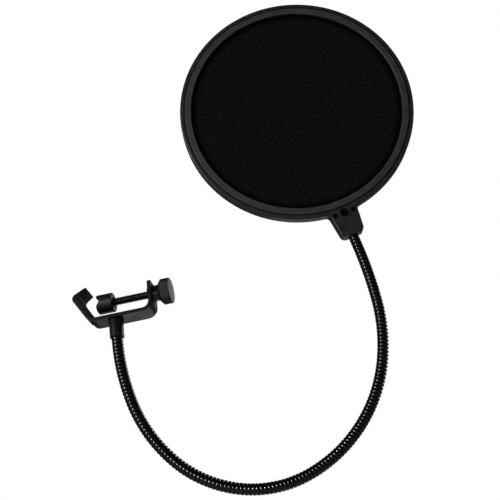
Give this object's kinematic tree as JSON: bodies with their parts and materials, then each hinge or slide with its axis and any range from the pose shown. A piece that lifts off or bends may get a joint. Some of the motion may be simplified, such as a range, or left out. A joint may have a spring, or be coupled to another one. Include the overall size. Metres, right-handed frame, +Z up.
{
  "type": "pop filter",
  "caption": "Round double-screen pop filter on a bendable gooseneck with a screw clamp that grips a microphone stand's tube.",
  "frame": {"origin": "middle of the clamp's open grip, on the clamp screw's axis", "axes": "+X along the clamp screw from the grip to the knob, +Y across the bracket's strip and along a gripped tube, +Z up from the bracket's base to the grip; the gooseneck leaves the base along -Z and the screen stands beside the clamp, facing -Y"},
  "size_m": [0.2368, 0.0646, 0.321],
  "materials": {
    "coated_steel": "black baked enamel, satin",
    "rubber": "matt moulded rubber",
    "dark_metal": "black oxide",
    "black_moulding": "fine grain",
    "knob_metal": "black anodised, fine knurl on the rim",
    "gooseneck_wire": "black wound wire, glossy on its crests",
    "hoop_plastic": "satin moulded",
    "nylon": "fine open nylon weave, stretched"
  },
  "bodies": {
    "bracket": {"clamp_bracket": "coated_steel", "jaw_boot": "rubber", "thread_bush": "dark_metal", "gooseneck_socket": "coated_steel", "socket_screw": "dark_metal", "gooseneck_1": "gooseneck_wire"},
    "pad": {"pressure_pad": "black_moulding", "pad_clip": "dark_metal"},
    "screw": {"clamp_screw": "dark_metal", "clamp_knob": "knob_metal", "knob_grub": "dark_metal"},
    "length_2": {"gooseneck_2": "gooseneck_wire"},
    "length_3": {"gooseneck_3": "gooseneck_wire"},
    "length_4": {"gooseneck_4": "gooseneck_wire"},
    "length_5": {"gooseneck_5": "gooseneck_wire"},
    "length_6": {"gooseneck_6": "gooseneck_wire"},
    "length_7": {"gooseneck_7": "gooseneck_wire"},
    "head": {"gooseneck_8": "gooseneck_wire", "gooseneck_ferrule": "dark_metal", "front_hoop": "hoop_plastic", "rear_hoop": "hoop_plastic", "front_retainer": "hoop_plastic", "rear_retainer": "hoop_plastic", "front_screen": "nylon", "rear_screen": "nylon", "neck_screw": "dark_metal", "neck_pins": "dark_metal"}
  },
  "joints": [
    {"name": "pad_slide", "type": "slide", "parent": "bracket", "child": "pad", "axis": [1, 0, 0], "range_m": [0, 0.02]},
    {"name": "knob_turn", "type": "hinge", "parent": "pad", "child": "screw", "pos_m": [0.03, 0, 0], "axis": [1, 0, 0], "range_deg": [0, 4500]},
    {"name": "flex_1", "type": "hinge", "parent": "bracket", "child": "length_2", "pos_m": [0.02142, 0.00323, -0.06686], "axis": [0.2447, -0.9658, -0.086], "range_deg": [-25, 25]},
    {"name": "flex_2", "type": "hinge", "parent": "length_2", "child": "length_3", "pos_m": [0.04104, 0.01221, -0.10336], "axis": [0.7192, 0.1128, 0.6855], "range_deg": [-25, 25]},
    {"name": "flex_3", "type": "hinge", "parent": "length_3", "child": "length_4", "pos_m": [0.07588, 0.02417, -0.1239], "axis": [-0.2607, 0.9585, 0.1157], "range_deg": [-25, 25]},
    {"name": "flex_4", "type": "hinge", "parent": "length_4", "child": "length_5", "pos_m": [0.11654, 0.03458, -0.12016], "axis": [-0.3442, -0.2016, 0.917], "range_deg": [-25, 25]},
    {"name": "flex_5", "type": "hinge", "parent": "length_5", "child": "length_6", "pos_m": [0.15058, 0.04035, -0.09552], "axis": [0.2455, -0.9618, -0.1215], "range_deg": [-25, 18]},
    {"name": "flex_6", "type": "hinge", "parent": "length_6", "child": "length_7", "pos_m": [0.1711, 0.04108, -0.05837], "axis": [0.9254, 0.2716, -0.2644], "range_deg": [-25, 25]},
    {"name": "flex_7", "type": "hinge", "parent": "length_7", "child": "head", "pos_m": [0.17581, 0.03675, -0.0163], "axis": [0.2468, -0.959, -0.1397], "range_deg": [-25, 25]}
  ],
  "couplings": [
    {"joint": "knob_turn", "follows": "pad_slide", "rad_per_m": 3927}
  ]
}
